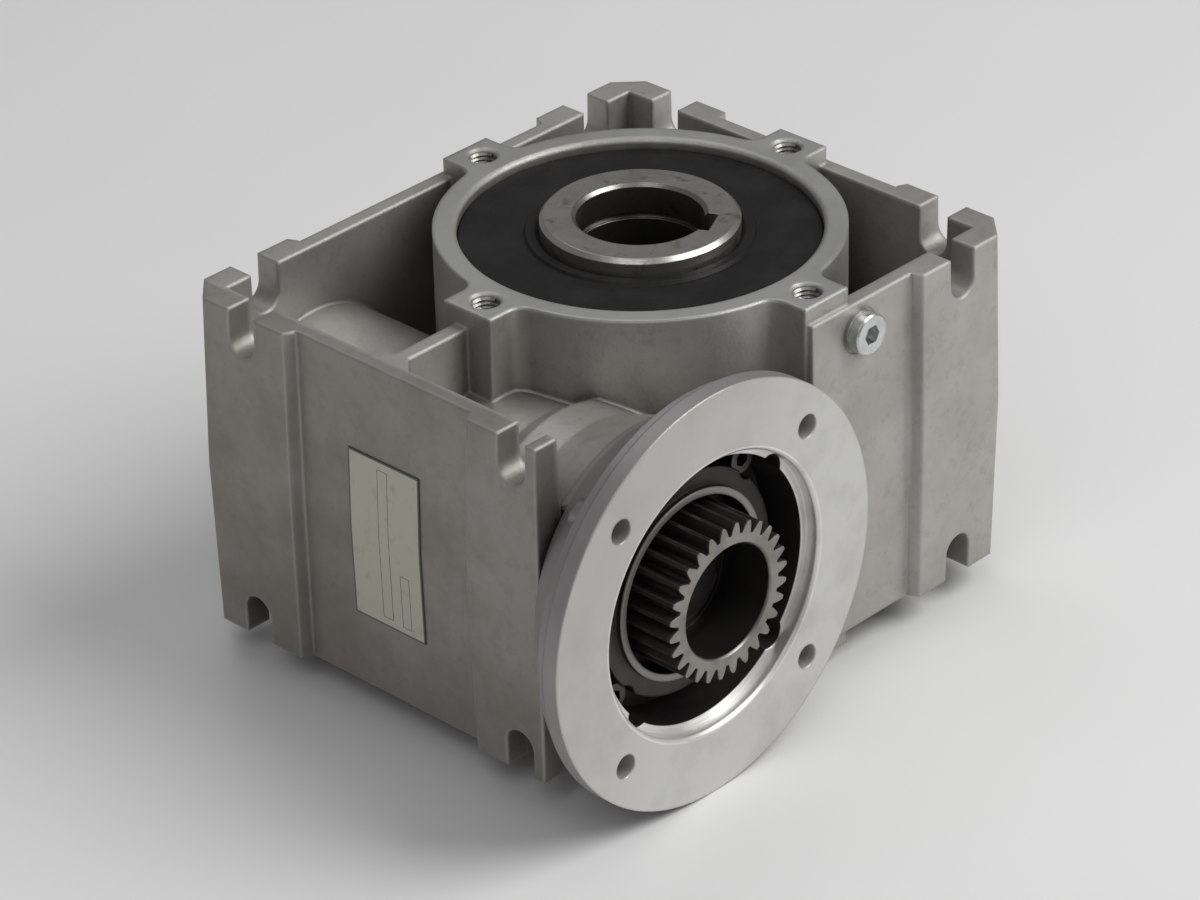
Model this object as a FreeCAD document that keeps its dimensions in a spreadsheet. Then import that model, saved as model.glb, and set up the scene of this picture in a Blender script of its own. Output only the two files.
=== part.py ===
import FreeCAD, Part
import math
import os
import re
import Sketcher
from FreeCAD import Placement, Rotation, Vector

# Worm gear reducer with a hollow keyed output shaft and a flanged motor adapter.
# Frame: Z is the output axis, the worm axis runs along Y at x = -centre_distance,
# z = 0 is the parting plane of the cast housing, and the input flange faces -Y.

# Driving sizes, in millimetres and degrees
SIZES = {
    # gear set
    "centre_distance": 63,
    "gear_module": 3,
    "worm_starts": 3,
    "wheel_teeth": 30,
    "pressure_angle": 20,
    "backlash": 0.24,
    "worm_half_length": 24,
    "wheel_half_width": 11,
    "wheel_outer_r": 49,
    "wheel_joint_r": 36,
    # housing walls and mounting feet
    "wall_half": 72,
    "wall_far": 102,
    "wall_thick": 8,
    "wall_end": 59.5,
    "recess": 3.5,
    "corner_cut": 8,
    "foot_z": 50.5,
    "draft_run": 1.2,
    "slot_pitch": 50,
    "slot_far": 80,
    "slot_r": 5,
    "slot_z": 42.5,
    "pad_edge": 33.2,
    "pad_slope": 1.8,
    "web_half": 4,
    # output ring of the housing
    "ring_r": 56.5,
    "ring_z": 55.5,
    "seat_r": 50,
    "chamber_r": 52,
    "ear_half": 8.5,
    "ear_reach": 67,
    "tap_circle_r": 60,
    "tap_r": 4,
    "tap_depth": 18,
    "tap_mouth_r": 4.7,
    "rib_thick": 4.5,
    "rib_flare": 4,
    "ear_fillet": 5,
    # worm tunnel of the housing
    "tunnel_r": 31,
    "boss_r": 34.7,
    "boss_y": 40.6,
    "neck_r": 40,
    "joint_y": 57,
    "tunnel_bore_r": 23,
    "rear_shoulder": 36,
    "front_shoulder": 35,
    "rear_lip": 0.8,
    # screw plug on the input side wall
    "plug_x": 11.5,
    "plug_z": 42,
    "plug_face": 68.4,
    "plug_r": 6,
    "plug_shank_r": 4,
    "plug_hex": 5,
    # input adapter
    "flange_face": 84.5,
    "flange_r": 60,
    "flange_thick": 5,
    "pilot_r": 40,
    "pilot_depth": 4.2,
    "bell_r": 37.7,
    "bell_floor": 66,
    "flange_circle_r": 50,
    "flange_hole_r": 3.5,
    "collar_r": 32,
    "collar_y": 74,
    "rim_y": 75.8,
    "rim_r": 27,
    "seal_seat_r": 25,
    "screw_circle_r": 35.4,
    "screw_r": 2.45,
    "screw_head_r": 4.2,
    "gasket": 0.5,
    # output shaft and its bearings
    "shaft_half": 58,
    "shaft_r": 27.5,
    "bore_r": 17.5,
    "key_width": 10,
    "bore_key_r": 20.8,
    "keyway_angle": -64,
    "chamber_half": 19.5,
    "out_bearing_width": 21,
    "out_roller_r": 6.4,
    "out_rollers": 14,
    "clip_thick": 3,
    "seal_top": 52.5,
    # worm shaft and its bearings
    "worm_seat_r": 26,
    "worm_shaft_r": 12.5,
    "worm_bearing_width": 15,
    "worm_roller_r": 3.7,
    "worm_rollers": 12,
    "nose_r": 10,
    # toothed coupling hub
    "hub_face": 88.7,
    "hub_teeth": 28,
    "hub_module": 1.5,
    "hub_tooth_length": 19.2,
    "hub_bore_r": 16,
    "hub_neck_r": 15,
    "hub_phase": 4.3,
    # named clearances
    "running_gap": 0.06,
    "roller_gap": 0.3,
    "lip_share": 0.15,
    "loose_gap": 0.05,
}

doc = FreeCAD.newDocument("worm_gear_reducer")
sheet = doc.addObject("Spreadsheet::Sheet", "Sizes")
for row, (alias, number) in enumerate(SIZES.items(), start=1):
    sheet.set("A%d" % row, alias.replace("_", " "))
    sheet.set("B%d" % row, str(number))
    sheet.setAlias("B%d" % row, alias)
doc.recompute()

nodes = []


def bound(text):
    """The expression with each size written as a cell of the sheet."""
    return re.sub(r"[A-Za-z_]\w*", lambda w: "Sizes." + w.group() if w.group() in SIZES else w.group(), text)


def value(text):
    """The number that an expression over the sheet gives now."""
    result = sheet.evalExpression(bound(text))
    return float(getattr(result, "Value", result))


def bind(item, name, text):
    item.setExpression(name, bound(text))


def origin(body, role):
    return next(feature for feature in body.Origin.OriginFeatures if feature.Role == role)


def new_body(label, place="output"):
    """Empty body in the frame of the housing, of the output shaft or of the worm shaft."""
    body = doc.addObject("PartDesign::Body", label)
    body.Label = label
    if place == "worm":
        body.Placement = Placement(Vector(-value("centre_distance"), 0, 0), Rotation(Vector(1, 0, 0), -90))
        bind(body, "Placement.Base.x", "-centre_distance")
    if place == "keyed":
        body.Placement = Placement(Vector(0, 0, 0), Rotation(Vector(0, 0, 1), value("keyway_angle")))
        bind(body, "Placement.Rotation.Angle", "keyway_angle")
    nodes.append(body)
    return body


def new_sketch(body, role, lift="0", shift="0"):
    """Sketch on an origin plane, lifted along its normal and shifted along its first axis."""
    sketch = body.newObject("Sketcher::SketchObject", body.Name + "_sketch")
    sketch.AttachmentSupport = [(origin(body, role), "")]
    sketch.MapMode = "FlatFace"
    sketch.AttachmentOffset = Placement(Vector(value(shift), 0, value(lift)), Rotation())
    bind(sketch, "AttachmentOffset.Base.x", shift)
    bind(sketch, "AttachmentOffset.Base.z", lift)
    return sketch


def pin(sketch, edge, point, x, y):
    """Ties one point of a sketch to two expressions."""
    for kind, text in (("DistanceX", x), ("DistanceY", y)):
        index = sketch.addConstraint(Sketcher.Constraint(kind, -1, 1, edge, point, value(text)))
        bind(sketch, "Constraints[%d]" % index, text)


def draw_loop(sketch, corners):
    """Closed loop of straight edges through corners given as expressions."""
    spots = [Vector(value(x), value(y), 0) for x, y in corners]
    first = sketch.GeometryCount
    count = len(spots)
    edges = [Part.LineSegment(spots[i], spots[(i + 1) % count]) for i in range(count)]
    sketch.addGeometry(edges, False)
    joints = [
        Sketcher.Constraint("Coincident", first + i, 2, first + (i + 1) % count, 1)
        for i in range(count)
    ]
    sketch.addConstraint(joints)
    for i, (x, y) in enumerate(corners):
        pin(sketch, first + i, 1, x, y)


def draw_box(sketch, x_low, x_high, y_low, y_high):
    draw_loop(sketch, [(x_low, y_low), (x_high, y_low), (x_high, y_high), (x_low, y_high)])


def draw_circle(sketch, x, y, radius):
    circle = Part.Circle(Vector(value(x), value(y), 0), Vector(0, 0, 1), value(radius))
    index = sketch.addGeometry(circle, False)
    pin(sketch, index, 3, x, y)
    size = sketch.addConstraint(Sketcher.Constraint("Radius", index, value(radius)))
    bind(sketch, "Constraints[%d]" % size, radius)


def extrude(body, sketch, length, cut=False, reverse=False, both=False, taper=None):
    """Pad or Pocket of a sketch."""
    kind = "Pocket" if cut else "Pad"
    feature = body.newObject("PartDesign::" + kind, body.Name + "_" + kind.lower())
    feature.Profile = sketch
    feature.Length = value(length)
    bind(feature, "Length", length)
    feature.Reversed = reverse
    if both:
        feature.SideType = "Symmetric"
    if taper:
        bind(feature, "TaperAngle", taper)
    return feature


def spin(body, sketch, cut=False):
    """Revolution or Groove of a sketch about its own vertical axis."""
    kind = "Groove" if cut else "Revolution"
    feature = body.newObject("PartDesign::" + kind, body.Name + "_" + kind.lower())
    feature.Profile = sketch
    feature.ReferenceAxis = (sketch, ["V_Axis"])
    feature.Angle = 360
    return feature


def repeat_round(body, features, count):
    """Polar pattern about the body's own Z axis."""
    pattern = body.newObject("PartDesign::PolarPattern", body.Name + "_pattern")
    pattern.Originals = features
    pattern.Axis = (origin(body, "Z_Axis"), [""])
    pattern.Angle = 360
    pattern.Occurrences = int(value(count))
    bind(pattern, "Occurrences", count)
    body.Tip = pattern
    return pattern


def mirror_in_parting_plane(body, features):
    mirror = body.newObject("PartDesign::Mirrored", body.Name + "_mirror")
    mirror.Originals = features
    mirror.MirrorPlane = (origin(body, "XY_Plane"), [""])
    body.Tip = mirror
    return mirror


def stands_at(edge, radius):
    """True for an upright edge at that distance from the Z axis, away from the round face's own seam."""
    middle = edge.CenterOfMass
    upright = abs(edge.tangentAt(edge.FirstParameter).z) > 0.99
    return upright and abs(math.hypot(middle.x, middle.y) - radius) < 0.01 and abs(middle.x * middle.y) > 1


def round_edges(body, feature, radius, wanted):
    """Fillet on the edges of a feature that a test picks."""
    fillet = body.newObject("PartDesign::Fillet", body.Name + "_fillet")
    names = ["Edge%d" % i for i, edge in enumerate(feature.Shape.Edges, start=1) if wanted(edge)]
    fillet.Base = (feature, names)
    fillet.Radius = value(radius)
    bind(fillet, "Radius", radius)
    return fillet


def turned(label, corners, place="output"):
    """Body of revolution about its Z axis, from corners given as (radius, height)."""
    body = new_body(label, place)
    sketch = new_sketch(body, "XZ_Plane")
    draw_loop(sketch, corners)
    spin(body, sketch)
    return body


def sleeve(label, inner, outer, low, high, place="output"):
    return turned(label, [(inner, low), (outer, low), (outer, high), (inner, high)], place)


# Wall faces at the parting plane, where the draft makes them widest
OUT = "(wall_half + draft_run)"
SKIN = "(wall_half + draft_run - recess)"
INN = "(wall_half - wall_thick - draft_run)"
FAR_OUT = "(wall_far + draft_run)"
FAR_SKIN = "(wall_far + draft_run - recess)"
FAR_INN = "(wall_far - wall_thick - draft_run)"
RAMP = "(pad_edge - pad_slope)"
FAR_EDGE = "(slot_far - slot_pitch + pad_edge)"
FAR_RAMP = "(slot_far - slot_pitch + pad_edge - pad_slope)"
REAR_FACE = "(wall_half + draft_run - recess + rear_lip)"
CLIP_LOW = "(chamber_half + out_bearing_width)"
CLIP_HIGH = "(chamber_half + out_bearing_width + clip_thick)"


def minus(text):
    return "-(%s)" % text


# Die-cast housing
housing = new_body("housing")

# Output ring with four bolting ears
ring = new_sketch(housing, "XY_Plane")
draw_circle(ring, "0", "0", "ring_r")
extrude(housing, ring, "2 * ring_z", both=True)
for side in ("", "-"):
    ears = new_sketch(housing, "XY_Plane")
    draw_box(ears, side + "seat_r", side + "ear_reach", "-ear_half", "ear_half")
    extrude(housing, ears, "2 * ring_z", both=True)
    ears = new_sketch(housing, "XY_Plane")
    draw_box(ears, "-ear_half", "ear_half", side + "seat_r", side + "ear_reach")
    last_ear = extrude(housing, ears, "2 * ring_z", both=True)
doc.recompute()
round_edges(housing, last_ear, "ear_fillet", lambda edge: stands_at(edge, value("ring_r")))

# Thin walls round three sides, open at the corner where the adapter sits
walls = new_sketch(housing, "XY_Plane")
draw_loop(walls, [
    (minus(FAR_SKIN), "-wall_end"),
    (minus(FAR_SKIN), SKIN + " - corner_cut / 2"),
    (minus(FAR_SKIN) + " + corner_cut / 2", SKIN),
    (SKIN + " - corner_cut / 2", SKIN),
    (SKIN, SKIN + " - corner_cut / 2"),
    (SKIN, minus(SKIN) + " + corner_cut / 2"),
    (SKIN + " - corner_cut / 2", minus(SKIN)),
    ("-ear_half", minus(SKIN)),
    ("-ear_half", minus(INN)),
    (INN, minus(INN)),
    (INN, INN),
    (minus(FAR_INN), INN),
    (minus(FAR_INN), "-wall_end"),
])
wall_pad = extrude(housing, walls, "foot_z", taper="-atan(draft_run / foot_z)")

# Thicker mounting pads at the corners
pads = new_sketch(housing, "XY_Plane")
for side in ("", "-"):
    draw_loop(pads, [
        (INN, side + RAMP),
        (SKIN, side + RAMP),
        (OUT, side + "pad_edge"),
        (OUT, side + "(wall_half + draft_run - corner_cut)"),
        (OUT + " - corner_cut", side + OUT),
        ("pad_edge", side + OUT),
        (RAMP, side + SKIN),
        (RAMP, side + INN),
        (INN, side + INN),
    ])
draw_loop(pads, [
    (minus(FAR_INN), RAMP),
    (minus(FAR_SKIN), RAMP),
    (minus(FAR_OUT), "pad_edge"),
    (minus(FAR_OUT), OUT + " - corner_cut"),
    (minus(FAR_OUT) + " + corner_cut", OUT),
    (minus(FAR_EDGE), OUT),
    (minus(FAR_RAMP), SKIN),
    (minus(FAR_RAMP), INN),
    (minus(FAR_INN), INN),
])
draw_loop(pads, [
    (minus(FAR_INN), minus(RAMP)),
    (minus(FAR_SKIN), minus(RAMP)),
    (minus(FAR_OUT), "-pad_edge"),
    (minus(FAR_OUT), "-wall_end"),
    (minus(FAR_INN), "-wall_end"),
])
corner_pads = extrude(housing, pads, "foot_z", taper="-atan(draft_run / foot_z)")
doc.recompute()
mirror_in_parting_plane(housing, [wall_pad, corner_pads])

# Web in the parting plane between the walls and the ring
web = new_sketch(housing, "XY_Plane")
draw_loop(web, [
    (minus(FAR_INN) + " - 1", "-boss_y"),
    (minus(FAR_INN) + " - 1", INN + " + 1"),
    (INN + " + 1", INN + " + 1"),
    (INN + " + 1", minus(INN) + " - 1"),
    ("-ear_half", minus(INN) + " - 1"),
    ("-ear_half", "-boss_y"),
])
extrude(housing, web, "2 * web_half", both=True)

# Rib from the far wall to its ear
rib = new_sketch(housing, "XY_Plane")
draw_loop(rib, [
    (minus(FAR_INN) + " - 1", "-rib_flare - 1"),
    (minus(FAR_INN) + " + rib_flare", "0"),
    ("-ear_reach + 2", "0"),
    ("-ear_reach + 2", "rib_thick"),
    (minus(FAR_INN) + " + rib_flare", "rib_thick"),
    (minus(FAR_INN) + " - 1", "rib_thick + rib_flare + 1"),
])
extrude(housing, rib, "2 * foot_z - 1", both=True)

# Worm tunnel, with the neck that carries the adapter
tunnel = new_sketch(housing, "XY_Plane", shift="-centre_distance")
draw_loop(tunnel, [
    ("0", "-joint_y"),
    ("neck_r", "-joint_y"),
    ("boss_r", "-boss_y"),
    ("boss_r", "-boss_y + 11"),
    ("tunnel_r", "-boss_y + 17"),
    ("tunnel_r", REAR_FACE),
    ("0", REAR_FACE),
])
spin(housing, tunnel)

# Thickening behind the screw plug
plug_boss = new_sketch(housing, "XZ_Plane", lift=INN + " - 3.5")
draw_circle(plug_boss, "plug_x", "plug_z", "plug_r + 1.5")
extrude(housing, plug_boss, "plug_face - (wall_half - wall_thick - draft_run) + 3")

# Wheel chamber, bearing seats, circlip grooves and mouth chamfers of the ring
chamber = new_sketch(housing, "XZ_Plane")
half = [
    ("chamber_r", "chamber_half"),
    ("seat_r", "chamber_half"),
    ("seat_r", CLIP_LOW),
    ("seat_r + 1.75", CLIP_LOW),
    ("seat_r + 1.75", CLIP_HIGH + " + 0.2"),
    ("seat_r", CLIP_HIGH + " + 0.2"),
    ("seat_r", "ring_z - 1"),
    ("seat_r + 2", "ring_z + 1"),
    ("0", "ring_z + 1"),
]
draw_loop(chamber, [(r, minus(z)) for r, z in reversed(half)] + half)
spin(housing, chamber, cut=True)

# Bore of the worm tunnel
bore = new_sketch(housing, "XY_Plane", shift="-centre_distance")
REAR_CLIP = "(rear_shoulder + worm_bearing_width)"
draw_loop(bore, [
    ("0", "-joint_y - 1"),
    ("worm_seat_r", "-joint_y - 1"),
    ("worm_seat_r", "-front_shoulder"),
    ("tunnel_bore_r", "-front_shoulder"),
    ("tunnel_bore_r", "rear_shoulder"),
    ("worm_seat_r", "rear_shoulder"),
    ("worm_seat_r", REAR_CLIP + " + 0.1"),
    ("worm_seat_r + 1.1", REAR_CLIP + " + 0.1"),
    ("worm_seat_r + 1.1", REAR_CLIP + " + 2.3"),
    ("worm_seat_r", REAR_CLIP + " + 2.3"),
    ("worm_seat_r", REAR_FACE + " - 1"),
    ("worm_seat_r + 2", REAR_FACE + " + 1"),
    ("worm_seat_r + 2", OUT + " + 1"),
    ("0", OUT + " + 1"),
])
spin(housing, bore, cut=True)

# Open bolt slots in the four walls, at both ends of each foot
SLOT_START = "(wall_half + 4)"
FAR_START = "(wall_far + 4)"
SLOT_DEPTH = "wall_thick + draft_run + 5.5"
slot_walls = (
    ("XZ_Plane", SLOT_START, False, ("slot_pitch",)),
    ("XZ_Plane", minus(SLOT_START), True, ("slot_pitch", "-slot_far")),
    ("YZ_Plane", SLOT_START, False, ("slot_pitch", "-slot_pitch")),
    ("YZ_Plane", minus(FAR_START), True, ("slot_pitch", "-slot_pitch")),
)
for role, lift, reverse, places in slot_walls:
    rounds = new_sketch(housing, role, lift=lift)
    notches = new_sketch(housing, role, lift=lift)
    for place in places:
        for up in ("", "-"):
            draw_circle(rounds, place, up + "slot_z", "slot_r")
            draw_box(notches, place + " - slot_r", place + " + slot_r", up + "slot_z", up + "(foot_z + 2)")
    extrude(housing, rounds, SLOT_DEPTH, cut=True, reverse=reverse)
    extrude(housing, notches, SLOT_DEPTH, cut=True, reverse=reverse)

# Spot face and threaded port of the screw plug
spot = new_sketch(housing, "XZ_Plane", lift="wall_half")
draw_circle(spot, "plug_x", "plug_z", "plug_r + 0.8")
extrude(housing, spot, "wall_half - plug_face", cut=True)
port = new_sketch(housing, "XZ_Plane", lift="wall_half")
draw_circle(port, "plug_x", "plug_z", "plug_shank_r + loose_gap")
extrude(housing, port, "wall_half - plug_face + 7", cut=True)

# Threaded holes for the adapter screws, at the corners of a square
SCREW_OFFSET = "screw_circle_r * sqrt(0.5)"
screw_holes = new_sketch(housing, "XZ_Plane", lift="joint_y", shift="-centre_distance")
for across in ("", "-"):
    for up in ("", "-"):
        draw_circle(screw_holes, across + SCREW_OFFSET, up + SCREW_OFFSET, "screw_r + loose_gap")
extrude(housing, screw_holes, "12", cut=True)

# Threaded holes of the output face, with countersunk mouths, on both sides
doc.recompute()
tap_circles = new_sketch(housing, "XY_Plane", lift="ring_z")
for x, y in (("tap_circle_r", "0"), ("-tap_circle_r", "0"), ("0", "tap_circle_r"), ("0", "-tap_circle_r")):
    draw_circle(tap_circles, x, y, "tap_r")
doc.recompute()
tapped = housing.newObject("PartDesign::Hole", "housing_tapped")
tapped.Profile = tap_circles
tapped.Threaded = False
tapped.ThreadType = "None"
tapped.DepthType = "Dimension"
tapped.DrillPoint = "Flat"
tapped.HoleCutType = "Countersink"
tapped.HoleCutCustomValues = True
bind(tapped, "Diameter", "2 * tap_r")
bind(tapped, "Depth", "tap_depth")
bind(tapped, "HoleCutDiameter", "2 * tap_mouth_r")
tapped.HoleCutCountersinkAngle = 90
doc.recompute()
mirror_in_parting_plane(housing, [tapped])

# Motor adapter: a bell with the square-bolted input flange
adapter = turned("input_adapter", [
    ("neck_r + 1.5", "-joint_y - gasket"),
    ("neck_r + 2.5", "-joint_y - 3"),
    ("flange_r - 5.5", "-flange_face + flange_thick + 5.5"),
    ("flange_r - 3", "-flange_face + flange_thick + 4.5"),
    ("flange_r - 3", "-flange_face + flange_thick"),
    ("flange_r", "-flange_face + flange_thick"),
    ("flange_r", "-flange_face"),
    ("pilot_r + 0.8", "-flange_face"),
    ("pilot_r", "-flange_face + 0.8"),
    ("pilot_r", "-flange_face + pilot_depth"),
    ("bell_r", "-flange_face + pilot_depth"),
    ("bell_r", "-bell_floor"),
    ("collar_r", "-bell_floor"),
    ("collar_r", "-collar_y"),
    ("rim_r", "-collar_y"),
    ("rim_r", "-rim_y"),
    ("seal_seat_r", "-rim_y"),
    ("seal_seat_r", "-joint_y - 3"),
    ("hub_neck_r + 6", "-joint_y - 3"),
    ("hub_neck_r + 6", "-front_shoulder - worm_bearing_width - 0.1"),
    ("worm_seat_r - loose_gap", "-front_shoulder - worm_bearing_width - 0.1"),
    ("worm_seat_r - loose_gap", "-joint_y - gasket"),
], place="worm")
mount_holes = new_sketch(adapter, "XY_Plane", lift="-flange_face")
fixing_holes = new_sketch(adapter, "XY_Plane", lift="-flange_face")
head_pockets = new_sketch(adapter, "XY_Plane", lift="-flange_face")
for across in ("", "-"):
    for up in ("", "-"):
        corner = ("%sflange_circle_r * sqrt(0.5)" % across, "%sflange_circle_r * sqrt(0.5)" % up)
        draw_circle(mount_holes, corner[0], corner[1], "flange_hole_r")
        corner = (across + SCREW_OFFSET, up + SCREW_OFFSET)
        draw_circle(fixing_holes, corner[0], corner[1], "screw_r + 0.3")
        draw_circle(head_pockets, corner[0], corner[1], "screw_head_r + 0.4")
extrude(adapter, mount_holes, "flange_thick + 20", cut=True, reverse=True)
extrude(adapter, fixing_holes, "flange_face - joint_y", cut=True, reverse=True)
extrude(adapter, head_pockets, "flange_face - bell_floor", cut=True, reverse=True)
wall_relief = new_sketch(adapter, "XZ_Plane")
draw_box(
    wall_relief,
    "-2 * flange_r",
    "centre_distance - (wall_far - wall_thick - draft_run) + 0.6",
    "-wall_end - 0.7",
    "-joint_y + 1",
)
extrude(adapter, wall_relief, "4 * flange_r", cut=True, both=True)

sleeve("adapter_gasket", "worm_seat_r + 0.2", "worm_seat_r + 3", "-joint_y - gasket", "-joint_y", "worm")

# Socket screws that hold the adapter
screws = new_body("adapter_screws", "worm")
stem = new_sketch(screws, "XY_Plane", lift="-bell_floor")
draw_circle(stem, SCREW_OFFSET, SCREW_OFFSET, "screw_r")
screw_stem = extrude(screws, stem, "bell_floor - joint_y + 11")
head = new_sketch(screws, "XY_Plane", lift="-bell_floor")
draw_circle(head, SCREW_OFFSET, SCREW_OFFSET, "screw_head_r")
screw_head = extrude(screws, head, "5", reverse=True)
socket = new_sketch(screws, "XY_Plane", lift="-bell_floor - 5")
draw_loop(socket, [
    (
        SCREW_OFFSET + " + 2 / cos(30) * cos(%d)" % angle,
        SCREW_OFFSET + " + 2 / cos(30) * sin(%d)" % angle,
    )
    for angle in range(0, 360, 60)
])
screw_socket = extrude(screws, socket, "3", cut=True, reverse=True)
doc.recompute()
repeat_round(screws, [screw_stem, screw_head, screw_socket], "4")

# Screw plug and its sealing washer
PLUG_TURN = Rotation(Vector(1, 0, 0), 90)


def plug_body(label):
    body = new_body(label)
    body.Placement = Placement(Vector(value("plug_x"), -value("plug_face"), value("plug_z")), PLUG_TURN)
    bind(body, "Placement.Base.x", "plug_x")
    bind(body, "Placement.Base.y", "-plug_face")
    bind(body, "Placement.Base.z", "plug_z")
    return body


washer = plug_body("plug_washer")
washer_ring = new_sketch(washer, "XZ_Plane")
draw_box(washer_ring, "plug_shank_r + loose_gap", "plug_r", "0", "1.4")
spin(washer, washer_ring)
plug = plug_body("screw_plug")
plug_form = new_sketch(plug, "XZ_Plane")
draw_loop(plug_form, [
    ("0", "-6"),
    ("plug_shank_r - 0.8", "-6"),
    ("plug_shank_r", "-5.2"),
    ("plug_shank_r", "1.4"),
    ("plug_r", "1.4"),
    ("plug_r", "4.2"),
    ("plug_r - 0.5", "4.7"),
    ("0", "4.7"),
])
spin(plug, plug_form)
plug_socket = new_sketch(plug, "XY_Plane", lift="4.7")
draw_loop(plug_socket, [
    ("plug_hex / 2 / cos(30) * cos(%d)" % angle, "plug_hex / 2 / cos(30) * sin(%d)" % angle)
    for angle in range(0, 360, 60)
])
extrude(plug, plug_socket, "3.2", cut=True)

# Hollow output shaft with a keyed bore and circlip grooves
shaft = turned("hollow_shaft", [
    ("bore_r + 1", "-shaft_half"),
    ("shaft_r - 1.2", "-shaft_half"),
    ("shaft_r", "-shaft_half + 1.2"),
    ("shaft_r", "shaft_half - 1.2"),
    ("shaft_r - 1.2", "shaft_half"),
    ("bore_r + 1", "shaft_half"),
    ("bore_r", "shaft_half - 1"),
    ("bore_r", "shaft_half - 9"),
    ("bore_r + 1", "shaft_half - 9"),
    ("bore_r + 1", "shaft_half - 10.6"),
    ("bore_r", "shaft_half - 10.6"),
    ("bore_r", "-shaft_half + 10.6"),
    ("bore_r + 1", "-shaft_half + 10.6"),
    ("bore_r + 1", "-shaft_half + 9"),
    ("bore_r", "-shaft_half + 9"),
    ("bore_r", "-shaft_half + 1"),
], place="keyed")
keyway = new_sketch(shaft, "XY_Plane")
draw_box(keyway, "0", "bore_key_r", "-key_width / 2", "key_width / 2")
extrude(shaft, keyway, "2 * shaft_half + 2", cut=True, both=True)
key_seat = new_sketch(shaft, "XY_Plane")
draw_box(key_seat, "-shaft_r - 1", "-shaft_r + 5", "-key_width / 2", "key_width / 2")
extrude(shaft, key_seat, "2 * wheel_half_width - 2", cut=True, both=True)

wheel_key = new_body("wheel_key", "keyed")
key_form = new_sketch(wheel_key, "XY_Plane")
draw_box(key_form, "-shaft_r - 3", "-shaft_r + 5", "-key_width / 2", "key_width / 2")
extrude(wheel_key, key_form, "2 * wheel_half_width - 2", both=True)

wheel_hub = turned("wheel_hub", [
    ("shaft_r", "-wheel_half_width"),
    ("wheel_joint_r", "-wheel_half_width"),
    ("wheel_joint_r", "wheel_half_width"),
    ("shaft_r", "wheel_half_width"),
], place="keyed")
hub_keyway = new_sketch(wheel_hub, "XY_Plane")
draw_box(hub_keyway, "-shaft_r - 3.3", "-shaft_r + 3", "-key_width / 2", "key_width / 2")
extrude(wheel_hub, hub_keyway, "2 * wheel_half_width + 2", cut=True, both=True)


def roller_bearing(name, place, bore, outside, low, width, roller, count):
    """Roller bearing: two lipped rings and a set of rollers round its own axis."""
    pitch = "((%s + %s) / 2)" % (bore, outside)
    high = "(%s + %s)" % (low, width)
    lip_low = "(%s + lip_share * %s)" % (low, width)
    lip_high = "(%s - lip_share * %s)" % (high, width)
    rings = (
        ("outer_ring", outside, "+"),
        ("inner_ring", bore, "-"),
    )
    for ring_name, back, side in rings:
        race = "(%s %s (%s + roller_gap))" % (pitch, side, roller)
        lip = "(%s %s lip_share * 4 * %s)" % (pitch, side, roller)
        turned("%s_%s" % (name, ring_name), [
            (back, low),
            (lip, low),
            (lip, lip_low),
            (race, lip_low),
            (race, lip_high),
            (lip, lip_high),
            (lip, high),
            (back, high),
        ], place)
    body = new_body(name + "_rollers", place)
    round_end = new_sketch(body, "XY_Plane", lift=lip_low + " + roller_gap")
    draw_circle(round_end, pitch, "0", roller)
    first = extrude(body, round_end, "%s - %s - 2 * roller_gap" % (lip_high, lip_low))
    doc.recompute()
    repeat_round(body, [first], count)


def output_side(name, sign):
    """Spacer, bearing, circlip and shaft seal on one side of the wheel."""
    low = "chamber_half" if sign > 0 else "(-chamber_half - out_bearing_width)"
    roller_bearing(name + "_bearing", "output", "shaft_r", "seat_r", low, "out_bearing_width",
                   "out_roller_r", "out_rollers")

    def lifted(corners):
        return [(r, z if sign > 0 else minus(z)) for r, z in corners]

    turned(name + "_spacer", lifted([
        ("shaft_r", "wheel_half_width"),
        ("shaft_r + 5.5", "wheel_half_width"),
        ("shaft_r + 5.5", "chamber_half"),
        ("shaft_r", "chamber_half"),
    ]))
    clip = turned(name + "_circlip", lifted([
        ("seat_r - 4", CLIP_LOW),
        ("seat_r + 1.6", CLIP_LOW),
        ("seat_r + 1.6", CLIP_HIGH),
        ("seat_r - 4", CLIP_HIGH),
    ]))
    clip_gap = new_sketch(clip, "XY_Plane")
    draw_box(clip_gap, "0", "2 * seat_r", "-7", "7")
    extrude(clip, clip_gap, "4 * shaft_half", cut=True, both=True)
    turned(name + "_seal", lifted([
        ("seat_r", CLIP_HIGH + " + 0.2"),
        ("seat_r", "seal_top - 0.6"),
        ("seat_r - 0.6", "seal_top"),
        ("shaft_r + 4.3", "seal_top"),
        ("shaft_r + 3.7", "seal_top + 0.9"),
        ("shaft_r + 1.2", "seal_top + 0.9"),
        ("shaft_r + running_gap", "seal_top"),
        ("shaft_r + running_gap", "seal_top - 5"),
        ("shaft_r + 2", "seal_top - 7"),
        ("shaft_r + 3.5", "seal_top - 5.5"),
        ("shaft_r + 4.1", "seal_top - 2.2"),
        ("seat_r - 3", "seal_top - 2.2"),
        ("seat_r - 3", CLIP_HIGH + " + 0.2"),
    ]))


output_side("upper", 1)
output_side("lower", -1)

# Worm shaft bearings, circlips, seal and end cap
roller_bearing("front_bearing", "worm", "worm_shaft_r", "worm_seat_r",
               "(-front_shoulder - worm_bearing_width)",
               "worm_bearing_width", "worm_roller_r", "worm_rollers")
roller_bearing("rear_bearing", "worm", "worm_shaft_r", "worm_seat_r", "rear_shoulder",
               "worm_bearing_width", "worm_roller_r", "worm_rollers")

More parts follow.
